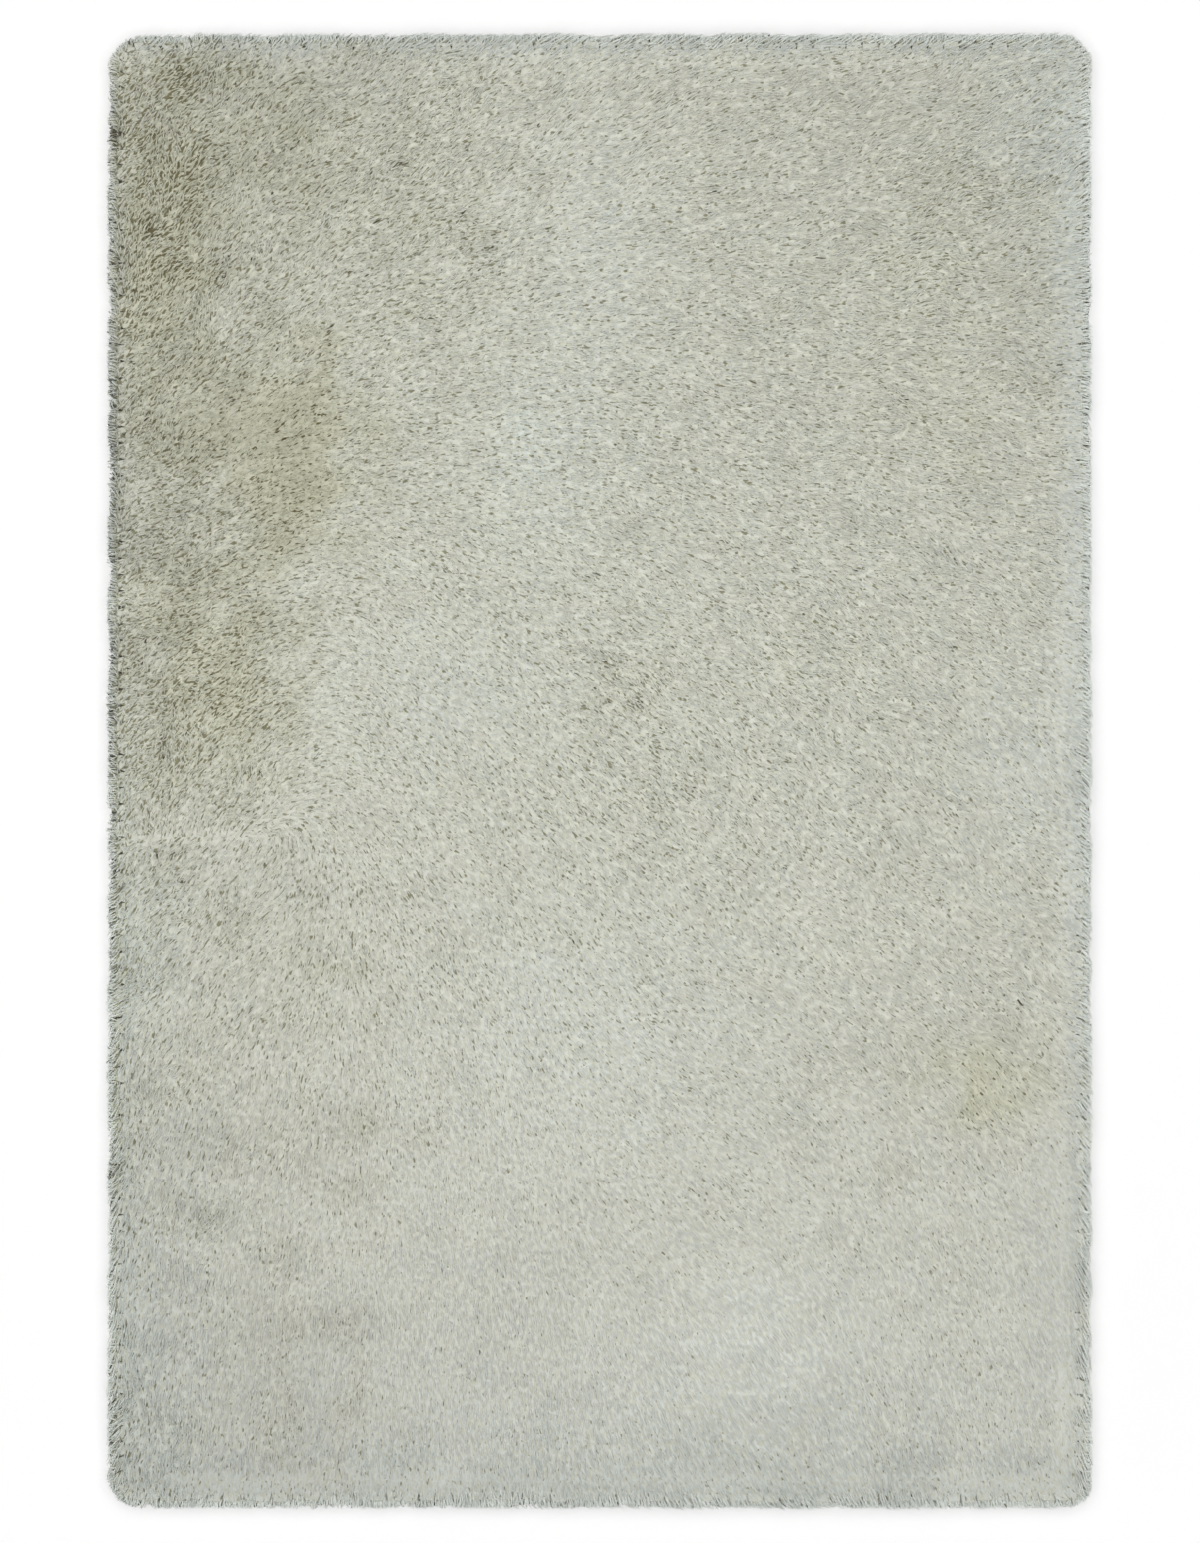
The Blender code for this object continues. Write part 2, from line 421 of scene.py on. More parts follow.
class PileSettings(bpy.types.PropertyGroup):
    pitch: a_length("Pitch", 0.00494, "Distance from one yarn to the next", min=0.003)
    thickness: a_length("Thickness", 0.0020, "Thickness of one yarn", min=0.0005)
    longest_lean: a_length(
        "Longest lean",
        0.0280,
        "How far a loose end's tip lies from its root where the pile is combed flat",
    )
    field_inset: a_length(
        "Field inset", 0.0045, "How far inside the outline the field's outermost yarns are rooted"
    )
    evenness: a_share(
        "Evenness", 0.29, "How far the yarns' shading follows the pile's top rather than each yarn"
    )
    tip_colour: a_colour(
        "Tip colour", (0.877, 0.879, 0.790), "Colour of the clean yarn towards its tip"
    )
    # Painted shade: the yarn is darker down in the pile, and between the bed's strands.
    deep_shade_colour: a_colour("Root colour", (0.762, 0.764, 0.632), "Colour of the yarn down in the pile")
    # Painted shade in the hollows between the yarns; where the pile is stained warm, a darker,
    # browner shade that is partly the stain.
    hollow_shade_colour: a_colour(
        "Hollow colour", (0.330, 0.320, 0.215), "Colour deep in the hollows between the yarns"
    )
    soiled_shade_colour: a_colour(
        "Soiled colour", (0.190, 0.160, 0.070), "Colour of the hollows where the pile is stained warm"
    )
    # The warm tint is partly faint stains and partly painted shade; the cool tint is a painted sheen.
    warm_colour: a_colour(
        "Warm colour", (0.806, 0.802, 0.628), "Colour of the yarn where it is stained warm"
    )
    cool_sheen_colour: a_colour(
        "Cool colour", (0.828, 0.870, 0.817), "Colour of the yarn where it is greyer and cooler"
    )


class BedSettings(bpy.types.PropertyGroup):
    height_share: a_share(
        "Height", 0.80, "Height of the packed yarn under the loose ends, as a share of the pile's"
    )
    sunk_share: a_share(
        "Sunk", 0.12, "How much lower the packed yarn lies where the pile stands open"
    )
    inset: a_length("Inset", 0.0045, "How far inside the rug's outline the packed yarn ends")


class BackingSettings(bpy.types.PropertyGroup):
    thickness: a_length("Thickness", 0.0026, "Thickness of the woven backing")
    inset: a_length("Inset", 0.012, "How far inside the rug's outline the backing ends")
    thread_pitch: a_length(
        "Thread pitch", 0.0040, "Distance from one thread of the backing to the next"
    )
    colour: a_colour("Colour", (0.42, 0.39, 0.30), "Colour of the backing cloth")


class StageSettings(bpy.types.PropertyGroup):
    frame_width: a_length("Frame width", 1.4691, "Width of floor that the camera takes in")
    lens: a_number("Lens", 100.0, "Focal length of the camera, in millimetres")
    key_power: a_number("Key light", 459.0, "Power of the large soft light overhead", unit="POWER")
    sky_strength: a_number("Room light", 0.102, "Strength of the even light from all round")
    floor_glow: a_number("Floor glow", 0.32, "Light that the floor gives off round the rug")
    floor_colour: a_colour("Floor colour", (0.90, 0.90, 0.90), "Colour of the plain pale floor")


class RugSettings(bpy.types.PropertyGroup):
    pile: PointerProperty(type=PileSettings)
    bed: PointerProperty(type=BedSettings)
    backing: PointerProperty(type=BackingSettings)
    stage: PointerProperty(type=StageSettings)


# ---- materials


class Value:
    """A socket of a material. Arithmetic on it adds Math nodes."""

    def __init__(self, graph, socket):
        self.graph = graph
        self.socket = socket

    def _math(self, operation, left, right=0.0):
        return self.graph.node("ShaderNodeMath", {"operation": operation}, {0: left, 1: right})

    def __add__(self, other):
        return self._math("ADD", self, other)

    __radd__ = __add__

    def __sub__(self, other):
        return self._math("SUBTRACT", self, other)

    def __mul__(self, other):
        return self._math("MULTIPLY", self, other)

    __rmul__ = __mul__

    def sine(self):
        return self._math("SINE", self)


class Graph:
    """A new material and its nodes, around one Principled shader."""

    def __init__(self, name):
        self.material = bpy.data.materials.new(name)
        self.material.use_nodes = True
        self.tree = self.material.node_tree
        self.shader = self.tree.nodes["Principled BSDF"]

    def node(self, kind, settings=None, sockets=None, output=0):
        """Adds a node: first its settings, then values or links on its sockets."""
        node = self.tree.nodes.new(kind)
        for name, setting in (settings or {}).items():
            setattr(node, name, setting)
        self.feed(node, sockets or {})
        return Value(self, node.outputs[output])

    def feed(self, node, sockets):
        for name, given in sockets.items():
            if isinstance(given, Value):
                self.tree.links.new(given.socket, node.inputs[name])
            else:
                node.inputs[name].default_value = given

    def read(self, attribute):
        """A number stored on the mesh."""
        return self.node("ShaderNodeAttribute", {"attribute_name": attribute}, output="Fac")

    def step(self, value, low, high):
        """0 below low, 1 above high, and a smooth rise between."""
        sockets = {"Value": value, "From Min": low, "From Max": high}
        return self.node("ShaderNodeMapRange", {"interpolation_type": "SMOOTHSTEP"}, sockets)

    def mix(self, factor, first, second):
        """One colour into another."""
        return self.node(
            "ShaderNodeMix",
            {"data_type": "RGBA"},
            {"Factor": factor, 6: opaque(first), 7: opaque(second)},
            output=2,
        )

    def scaled(self, colour, factor):
        return self.node(
            "ShaderNodeVectorMath", {"operation": "SCALE"}, {0: colour, "Scale": factor}
        )

    def uv(self, name):
        """The two numbers of a UV map."""
        place = self.node("ShaderNodeUVMap", {"uv_map": name})
        return [self.node("ShaderNodeSeparateXYZ", None, {0: place}, output=way) for way in "XY"]

    def bump(self, height, strength, distance):
        sockets = {"Height": height, "Strength": strength, "Distance": distance}
        return self.node("ShaderNodeBump", None, sockets)

    def finish(self, **sockets):
        self.feed(self.shader, {name.replace("_", " "): given for name, given in sockets.items()})
        return self.material


def opaque(colour):
    """A colour of three numbers as four. A link stays as it is."""
    return colour if isinstance(colour, Value) else (*colour, 1.0)


def streaks(graph, along, across, detail):
    """A flat noise with its own scales along a way and across it."""
    place = graph.node("ShaderNodeCombineXYZ", None, {"X": along, "Y": across})
    sockets = {"Vector": place, "Scale": 1.0, "Detail": detail}
    return graph.node("ShaderNodeTexNoise", {"noise_dimensions": "2D"}, sockets)


def clean_colour(graph, pile, warm):
    """The yarn's colour towards its tip, tinted by its patch: warmer with faint stains and painted
    shade, cooler with a painted sheen.
    """
    clean = graph.mix(warm, pile.tip_colour, pile.warm_colour)
    return graph.mix(graph.read("cool"), clean, pile.cool_sheen_colour)


def yarn_material(pile):
    """Soft matt yarn: painted shade makes it darker and warmer at its root. It is tinted by its patch
    and has a twist of plies.
    """
    graph = Graph("pile_yarn")
    warm = graph.read("warm")
    shade = graph.read("shade")
    # Painted shade: the yarn darkens towards its root.
    lit = graph.step(graph.read("along"), *ROOT_SHADE_ENDS)
    colour = graph.mix(lit, pile.deep_shade_colour, clean_colour(graph, pile, warm))

    around, along = graph.uv("Yarn")
    plies = ((around * PLIES + along * TWISTS) * math.tau).sine()
    twisted = around * FIBRES_AROUND + along * FIBRE_TWISTS
    fibres = streaks(graph, twisted, along * FIBRES_ALONG, detail=2.0)
    tone = shade * (YARN_TONE + PLY_TONE * plies + FIBRE_TONE * fibres)
    # Dark yarns, painted shade in the pits and soiled strands at the spots, take the shade of the
    # hollows.
    soil_and_shade = graph.mix(warm, pile.hollow_shade_colour, pile.soiled_shade_colour)
    soil_and_shade = graph.scaled(soil_and_shade, tone * SOIL_AND_SHADE_TONE)
    clean_share = graph.step(shade, *SOIL_AND_SHADE_ENDS)
    return graph.finish(
        Base_Color=graph.mix(clean_share, soil_and_shade, graph.scaled(colour, tone)),
        Roughness=0.86,
        Specular_IOR_Level=0.22,
        Normal=graph.bump(plies * 0.5 + fibres, 0.5, 0.0004),
    )


def bed_material(pile):
    """The same yarn, packed: strands side by side in the way of the lay, with painted shade between
    them and in the dark partings.
    """
    graph = Graph("pile_bed")
    along, across = graph.uv("Lay")
    strands = streaks(graph, along * STRANDS_ALONG, across * STRANDS_ACROSS, detail=2.0)
    shifted = along * PARTINGS_ALONG + PARTINGS_SHIFT
    partings = streaks(graph, shifted, across * PARTINGS_ACROSS, detail=1.0)
    parted = graph.step(partings + OPEN_PARTED * graph.read("open"), *PARTING_ENDS)
    warm = graph.read("warm")
    # The partings take the painted shade of the hollows.
    parting_shade = graph.mix(warm, pile.hollow_shade_colour, pile.soiled_shade_colour)
    lit = graph.step(strands, *STRAND_ENDS)
    colour = graph.mix(lit, pile.deep_shade_colour, clean_colour(graph, pile, warm))
    colour = graph.mix(parted, colour, parting_shade)
    return graph.finish(
        Base_Color=graph.scaled(colour, graph.read("shade")),
        Roughness=0.9,
        Specular_IOR_Level=0.15,
        Normal=graph.bump(strands - 0.6 * parted, 0.6, 0.003),
    )


def backing_material(backing):
    """Plain woven cloth of two sets of threads, which pass over and under each other."""
    graph = Graph("backing_weave")
    across, down = graph.uv("Cloth")
    turn = math.tau / (2 * backing.thread_pitch)
    warp = (across * turn).sine()
    weft = (down * turn).sine()
    woven = warp * weft
    threads = graph.node("ShaderNodeTexNoise", None, {"Scale": THREAD_GRAIN, "Detail": 3.0})
    tone = 0.86 + 0.10 * woven + 0.24 * (threads - 0.5)
    return graph.finish(
        Base_Color=graph.scaled(backing.colour, tone),
        Roughness=0.93,
        Specular_IOR_Level=0.2,
        Normal=graph.bump(woven + threads * 0.4, 0.7, 0.0006),
    )


def floor_material(stage):
    """Pale paint that glows. It isn't sampled as a light, which keeps noise out of the pile."""
    graph = Graph("floor_paint")
    graph.material.cycles.emission_sampling = "NONE"
    grain = graph.node("ShaderNodeTexNoise", None, {"Scale": 5.0, "Detail": 2.0})
    glow = graph.read("glow") + stage.floor_glow
    return graph.finish(
        Base_Color=graph.mix(0.012 * grain, stage.floor_colour, WHITE),
        Roughness=0.9,
        Specular_IOR_Level=0.1,
        Emission_Color=graph.mix(glow, BLACK, WHITE),
        Emission_Strength=1.0,
    )


# ---- fields on the rug


def drift(x, y, chance, *waves):
    """An uneven field over the rug: for each wave, many of about its length, as far as its size."""
    field = np.zeros_like(x)
    for size, span in waves:
        total = np.zeros_like(x)
        for _ in range(WAVES):
            angle = chance.uniform(0.0, math.tau)
            pitch = span * chance.uniform(*WAVE_ENDS)
            across = x * math.cos(angle) + y * math.sin(angle)
            total += np.sin(across * math.tau / pitch + chance.uniform(0.0, math.tau))
        field += size * (total / math.sqrt(WAVES / 2))
    return field


def outline(x, y):
    """How far places lie inside the rug's outline, and the way out of it from there."""
    radius = np.zeros_like(x)
    for corner in CORNERS:
        here = (x * corner.side_x >= 0) & (y * corner.side_y >= 0)
        radius[here] = corner.radius
    over_x = np.abs(x) - (HALF_WIDTH - radius)
    over_y = np.abs(y) - (HALF_LENGTH - radius)
    out_x = np.maximum(over_x, 0.0)
    out_y = np.maximum(over_y, 0.0)
    beyond = np.hypot(out_x, out_y)
    gap = radius - beyond - np.minimum(np.maximum(over_x, over_y), 0.0)
    flat = beyond < 1e-9
    out_x = np.where(flat, over_x >= over_y, out_x / np.maximum(beyond, 1e-9))
    out_y = np.where(flat, over_x < over_y, out_y / np.maximum(beyond, 1e-9))
    return gap, np.stack([out_x * np.sign(x), out_y * np.sign(y)], -1)


def eased(value, low, high):
    """0 below low, 1 above high, and a smooth rise between, for arrays."""
    share = np.clip((value - low) / (high - low), 0.0, 1.0)
    return share * share * (3.0 - 2.0 * share)


class PileTop:
    """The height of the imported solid's top, read off it on a grid, and its fall to the rim."""

    STEP = 0.010

    def __init__(self):
        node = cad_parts["shag_rug"]
        mesh = node.data
        tree = BVHTree.FromPolygons(
            [v.co.copy() for v in mesh.vertices], [tuple(p.vertices) for p in mesh.polygons]
        )
        self.reach = (HALF_WIDTH - DOME_WIDTH, HALF_LENGTH - DOME_WIDTH)
        self.counts = [int(2 * reach / self.STEP) + 1 for reach in self.reach]
        xs = np.linspace(-self.reach[0], self.reach[0], self.counts[0])
        ys = np.linspace(-self.reach[1], self.reach[1], self.counts[1])
        down = Vector((0.0, 0.0, -1.0))
        self.heights = np.array(
            [[tree.ray_cast(Vector((x, y, 1.0)), down)[0].z for y in ys] for x in xs]
        )

    def at(self, x, y):
        """Heights at places, blended from the four nearest of the grid."""
        at_x = self._on_grid(x, 0)
        at_y = self._on_grid(y, 1)
        col = np.minimum(at_x.astype(int), self.counts[0] - 2)
        row = np.minimum(at_y.astype(int), self.counts[1] - 2)
        part_x = at_x - col
        part_y = at_y - row
        low = self.heights[col, row] * (1 - part_x) + self.heights[col + 1, row] * part_x
        high = self.heights[col, row + 1] * (1 - part_x) + self.heights[col + 1, row + 1] * part_x
        field = low * (1 - part_y) + high * part_y
        gap, _ = outline(x, y)
        return field * np.interp(gap, *zip(*DOME))

    def _on_grid(self, value, axis):
        reach = self.reach[axis]
        share = (np.clip(value, -reach, reach) + reach) / (2 * reach)
        return share * (self.counts[axis] - 1)


def combed(x, y):
    """The pile's lay at places: a vector that points as the tips do, as long as they lean."""
    total = np.zeros(x.shape + (2,))
    weights = np.full(x.shape, 1e-9)
    for zone_x, zone_y, reach, heading, lean in COMBED:
        weight = np.exp(-((x - zone_x) ** 2 + (y - zone_y) ** 2) / reach**2)
        angle = math.radians(heading)
        lay = lean * np.array([math.cos(angle), math.sin(angle)])
        total += weight[..., None] * lay
        weights += weight
    return total / weights[..., None]


def patched(x, y):
    """Openness, warmth and dimness at places. The patches' edges wander."""
    chance = np.random.default_rng(SEED + 1)
    wander_x = PATCH_WANDER * drift(x, y, chance, *PATCH_WAVES)
    wander_y = PATCH_WANDER * drift(x, y, chance, *PATCH_WAVES)
    total = np.zeros((3,) + x.shape)
    for patch_x, patch_y, reach_x, reach_y, *added in PATCHES:
        away_x = (x - patch_x) / reach_x + wander_x
        away_y = (y - patch_y) / reach_y + wander_y
        weight = np.exp(-(away_x**2) - away_y**2)
        total += weight * np.array(added)[:, None]
    return total


def soiled(x, y):
    """The share of the strands at places that are soiled by a small spot."""
    total = np.zeros_like(x)
    for spot_x, spot_y, reach, share in SPOTS:
        total += share * np.exp(-((x - spot_x) ** 2 + (y - spot_y) ** 2) / reach**2)
    return np.clip(total, 0.0, 1.0)


# ---- pile

Yarns = namedtuple("Yarns", "root bend tip thick roll open warm cool shade")


def field_roots(pile, chance):
    """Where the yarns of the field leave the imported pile: uneven, staggered rows."""
    pitch = pile.pitch
    columns = int(2 * HALF_WIDTH / pitch) + 2
    rows = int(2 * HALF_LENGTH / pitch) + 2
    col, row = np.meshgrid(np.arange(columns), np.arange(rows), indexing="ij")
    x = (col + 0.5 * (row % 2) - columns / 2) * pitch
    y = (row - rows / 2) * pitch
    x = x + chance.uniform(-ROOT_STRAY, ROOT_STRAY, x.shape) * pitch
    y = y + chance.uniform(-ROOT_STRAY, ROOT_STRAY, y.shape) * pitch
    gap, _ = outline(x, y)
    kept = gap > pile.field_inset
    return x[kept], y[kept]


def field_yarns(pile, top, chance):
    """The field: its roots, its tips, and which of its yarns are dark."""
    x, y = field_roots(pile, chance)
    count = len(x)
    openness, _, _ = patched(x, y)
    openness = np.clip(openness, *OPEN_ENDS)
    lay = combed(x, y)
    lean = np.hypot(lay[:, 0], lay[:, 1])
    unrest = UNREST + OPEN_UNREST * openness
    heading = np.arctan2(lay[:, 1], lay[:, 0])
    heading += unrest * drift(x, y, chance, *HEADING_WAVES)
    heading += unrest * chance.normal(0.0, HEADING_SPREAD, count)
    dark = chance.uniform(0.0, 1.0, count) < dark_share(x, y, openness)
    lean *= 1.0 + drift(x, y, chance, LEAN_WAVE) + chance.normal(0.0, LEAN_SPREAD, count)
    lean = np.clip(lean * (1.0 - OPEN_LEAN * openness), *LEAN_ENDS)
    lean = np.where(dark, lean * chance.uniform(*DARK_LEAN_ENDS, count), lean)
    reach = (lean * pile.longest_lean)[:, None]
    lay = reach * np.stack([np.cos(heading), np.sin(heading)], -1)

    # Those near the rim are pushed outwards, most of all where they lean inwards, and all stop
    # short of the outline.
    gap, outward = outline(x, y)
    opposed = np.clip(-np.sum(lay * outward, -1) / reach[:, 0], 0.0, 1.0)
    near_rim = 1.0 - eased(gap, *RIM_PUSH_ENDS)
    lay *= (1.0 - near_rim * opposed)[:, None]
    lay += outward * (RIM_PUSH * near_rim * (1.0 + opposed))[:, None]

    # Neighbours sway together, into locks with partings between them.
    sway = np.stack([drift(x, y, chance, SWAY_WAVE), drift(x, y, chance, SWAY_WAVE)], -1)
    root = np.stack([x, y], -1)
    tip = root + lay + sway * (SWAY * unrest)[:, None]
    tip += chance.normal(0.0, TIP_STRAY, tip.shape)
    gap, outward = outline(tip[:, 0], tip[:, 1])
    over = np.maximum(bulge_at(tip) + some_short(chance, count) - gap, 0.0)
    tip -= outward * over[:, None]
    sunk = chance.uniform(0.0, 1.0, count) ** 1.5 * (SUNK + OPEN_SUNK * np.maximum(openness, -0.3))
    sunk += np.where(dark, chance.uniform(0.0, DARK_SUNK, count), 0.0)
    droop = DROOP * np.clip(over / DROOP_REACH, 0.0, 1.0) * chance.uniform(*DROOP_ENDS, count)
    tip_z = top.at(tip[:, 0], tip[:, 1]) * (TIP_HEIGHT - sunk) * (1.0 - droop)
    root_z = top.at(x, y) * ROOT_HEIGHT
    return with_height(root, root_z), with_height(tip, tip_z), dark


def some_short(chance, count):
    """How far tips end short of the rim: few by much."""
    return chance.uniform(0.0, 1.0, count) ** 3 * TIP_SHORT


def dark_share(x, y, openness):
    """The share of the strands at places that stand dark and upright: painted shade in the small pits
    of an open pile, and soiled strands at the spots. They gather."""
    gathered = 1.0 + drift(x, y, np.random.default_rng(SEED + 3), DARK_WAVE)
    share = DARK_SHARE + OPEN_DARK_SHARE * np.clip(openness, 0.0, OPEN_ENDS[1])
    return gathered * share + soiled(x, y)


def walk_outline(spacing):
    """Places along the rug's outline at even steps, and the way out of it at each."""
    places = []
    for corner in CORNERS:
        arc = np.radians(np.linspace(0.0, 90.0, ARC_POINTS))
        x = corner.side_x * (HALF_WIDTH - corner.radius * (1.0 - np.cos(arc)))
        y = corner.side_y * (HALF_LENGTH - corner.radius * (1.0 - np.sin(arc)))
        places.extend(zip(x, y))
    places = np.array(sorted(places, key=lambda place: math.atan2(place[1], place[0])))
    loop = np.concatenate([places, places[:1]])
    lengths = np.concatenate([[0.0], np.cumsum(np.hypot(*np.diff(loop, axis=0).T))])
    walked = np.arange(0.0, lengths[-1], spacing)
    x = np.interp(walked, lengths, loop[:, 0])
    y = np.interp(walked, lengths, loop[:, 1])
    _, outward = outline(x * JUST_INSIDE, y * JUST_INSIDE)
    return np.stack([x, y], -1), outward


def bulge_at(edge):
    """How far the rim falls short of the outline: it swells and draws in along its length."""
    swell = drift(edge[:, 0], edge[:, 1], np.random.default_rng(SEED + 2), *BULGE_WAVES)
    return BULGE * np.clip(swell, *BULGE_ENDS)


def rim_yarns(chance):
    """The rows that close the rim: their roots, their tips, and which of their yarns are dark."""
    rows = []
    for inset, tip_inset, tip_height, spacing, share in RIM_ROWS:
        edge, outward = walk_outline(spacing)
        count = len(edge)
        aside = np.stack([-outward[:, 1], outward[:, 0]], -1)
        edge = edge + aside * chance.uniform(-0.5, 0.5, count)[:, None] * spacing
        short = tip_inset + bulge_at(edge) + some_short(chance, count)
        sway = drift(edge[:, 0], edge[:, 1], chance, RIM_SWAY_WAVE)
        sway += chance.normal(0.0, RIM_SWAY_SPREAD, count)
        tip = edge - outward * short[:, None] + aside * sway[:, None]
        back = inset + chance.uniform(-RIM_ROOT_STRAY, RIM_ROOT_STRAY, count)
        root = edge - outward * back[:, None]
        tip_z = tip_height * chance.uniform(*RIM_HEIGHT_ENDS, count)
        openness, _, _ = patched(tip[:, 0], tip[:, 1])
        # Dark yarns paint the shade in the rim's notches where the pile is open, and soiled strands
        # at the spots.
        notched = share * np.clip(RIM_DARK_BASE + openness, *RIM_DARK_ENDS)
        dark = chance.uniform(0.0, 1.0, count) < notched + soiled(tip[:, 0], tip[:, 1])
        rows.append((with_height(root, RIM_ROOT_HEIGHT * tip_z), with_height(tip, tip_z), dark))
    return joined(rows)


def joined(groups):
    """Groups of roots, tips and which are dark, as one."""
    return [np.concatenate(parts) for parts in zip(*groups)]


def with_height(flat, height):
    return np.concatenate([flat, height[:, None]], -1)


def grow_yarns(pile):
    """Every loose end of the pile: where it leaves the bed, how it bends over, and its tint."""
    chance = np.random.default_rng(SEED)
    top = PileTop()
    root, tip, dark = joined([field_yarns(pile, top, chance), rim_yarns(chance)])
    order = np.argsort(root[:, 1], kind="stable")
    root, tip, dark = (values[order] for values in (root, tip, dark))
    count = len(root)

    bend = root + (tip - root) * chance.uniform(*BEND_ENDS, count)[:, None]
    bend[:, :2] += chance.normal(0.0, BEND_STRAY, (count, 2))
    crest = np.maximum(root[:, 2], tip[:, 2])
    crest = np.maximum(crest, BEND_HEIGHT * top.at(bend[:, 0], bend[:, 1]))
    bend[:, 2] = crest * chance.uniform(*BEND_RISE_ENDS, count) + BEND_LIFT
    thick = pile.thickness * chance.uniform(*THICK_ENDS, count)
    thick *= np.where(dark, chance.uniform(*DARK_THICK_ENDS, count), 1.0)
    tip[:, 2] = np.maximum(tip[:, 2], thick * 0.5)

    # Tints: each yarn's patch, mottled over a few yarns, and a cooler painted sheen round the rim.
    x, y, _ = tip.T
    openness, warmth, dimness = patched(x, y)
    gap, _ = outline(x, y)
    warmth = warmth + drift(x, y, chance, WARM_WAVE) + chance.normal(0.0, WARM_SPREAD, count)
    cool_sheen_rim = COOL_SHEEN_RIM * (1.0 - eased(gap, *COOL_SHEEN_RIM_ENDS))
    # Faint stains and painted shade dim the patches.
    shade = 1.0 - STAIN_AND_SHADE * dimness + drift(x, y, chance, SHADE_WAVE)
    # Painted light: the outermost ends are paler.
    shade *= 1.0 + RIM_PAINTED_LIGHT * (1.0 - eased(gap, *RIM_PAINTED_LIGHT_ENDS))
    # Dark yarns are painted shade in the pits, and soiled strands at the spots; both are warmer.
    shade = np.where(dark, chance.uniform(*DARK_SHADE_ENDS, count), shade)
    warmth = np.where(dark, warmth + DARK_WARMTH, warmth)
    return Yarns(
        root=root,
        bend=bend,
        tip=tip,
        thick=thick,
        roll=chance.uniform(0.0, math.tau, count),
        open=openness,
        warm=np.clip(warmth, 0.0, 1.0),
        cool=np.clip(cool_sheen_rim - warmth, 0.0, 1.0),
        shade=shade * (1.0 + chance.normal(0.0, SHADE_SPREAD, count)),
    )


def unit(vectors):
    return vectors / np.linalg.norm(vectors, axis=-1, keepdims=True)


def yarn_points(yarns, evenness):
    """The corners of every yarn, ring by ring from its root, and its tip last; and how each is
    shaded: partly as the yarn's own side, and partly as the top of the pile."""
    lay = yarns.tip - yarns.root
    side = unit(np.stack([-lay[:, 1], lay[:, 0], np.zeros(len(lay))], -1))
    up = np.array([0.0, 0.0, 1.0])
    gap, _ = outline(yarns.tip[:, 0], yarns.tip[:, 1])
    at_rim = 1.0 - eased(gap, *RIM_EVEN_ENDS)
    evenness = evenness + CLOSED_EVEN - OPEN_EVEN * yarns.open + RIM_EVEN * at_rim
    evenness = np.clip(evenness, *EVEN_ENDS)[:, None]
    points = []
    normals = []
    for ring in RINGS:
        t = ring.along
        centre = (1 - t) ** 2 * yarns.root + 2 * t * (1 - t) * yarns.bend + t * t * yarns.tip
        forward = unit((1 - t) * (yarns.bend - yarns.root) + t * (yarns.tip - yarns.bend))
        across = unit(side - forward * np.sum(side * forward, -1, keepdims=True))
        over = np.cross(forward, across)
        radius = (yarns.thick * ring.thick / 2)[:, None]
        for corner in range(SIDES):
            angle = (yarns.roll + math.tau * corner / SIDES)[:, None]
            outwards = np.cos(angle) * across + np.sin(angle) * over
            points.append(centre + radius * outwards)
            normals.append(unit(outwards * (1 - evenness) + up * evenness))
    points.append(yarns.tip)
    forward = unit(yarns.tip - yarns.bend)
    normals.append(unit(forward * (1 - evenness) + up * (TIP_EVEN + evenness)))
    points = np.stack(points, 1)
    points[..., 2] = np.maximum(points[..., 2], LOWEST)
    return points, np.stack(normals, 1)


def yarn_faces():
    """One yarn's faces: each corner as its place in the yarn's points, around it and along it."""
    faces = []
    for level in range(len(RINGS) - 1):
        low, high = RINGS[level].along, RINGS[level + 1].along
        first = level * SIDES
        after = first + SIDES
        for side in range(SIDES):
            here, there = side / SIDES, (side + 1) / SIDES
            turn = (side + 1) % SIDES
            lower = ((first + side, here, low), (first + turn, there, low))
            faces.append((*lower, (after + turn, there, high), (after + side, here, high)))
    last = (len(RINGS) - 1) * SIDES
    at = RINGS[-1].along
    for side in range(SIDES):
        here, there = side / SIDES, (side + 1) / SIDES
        turn = (side + 1) % SIDES
        tip = (last + SIDES, (side + 0.5) / SIDES, 1.0)
        faces.append(((last + side, here, at), (last + turn, there, at), tip))
    faces.append(((2, 0.1, -0.03), (1, 0.9, -0.03), (0, 0.5, -0.01)))  # under the root
    return faces


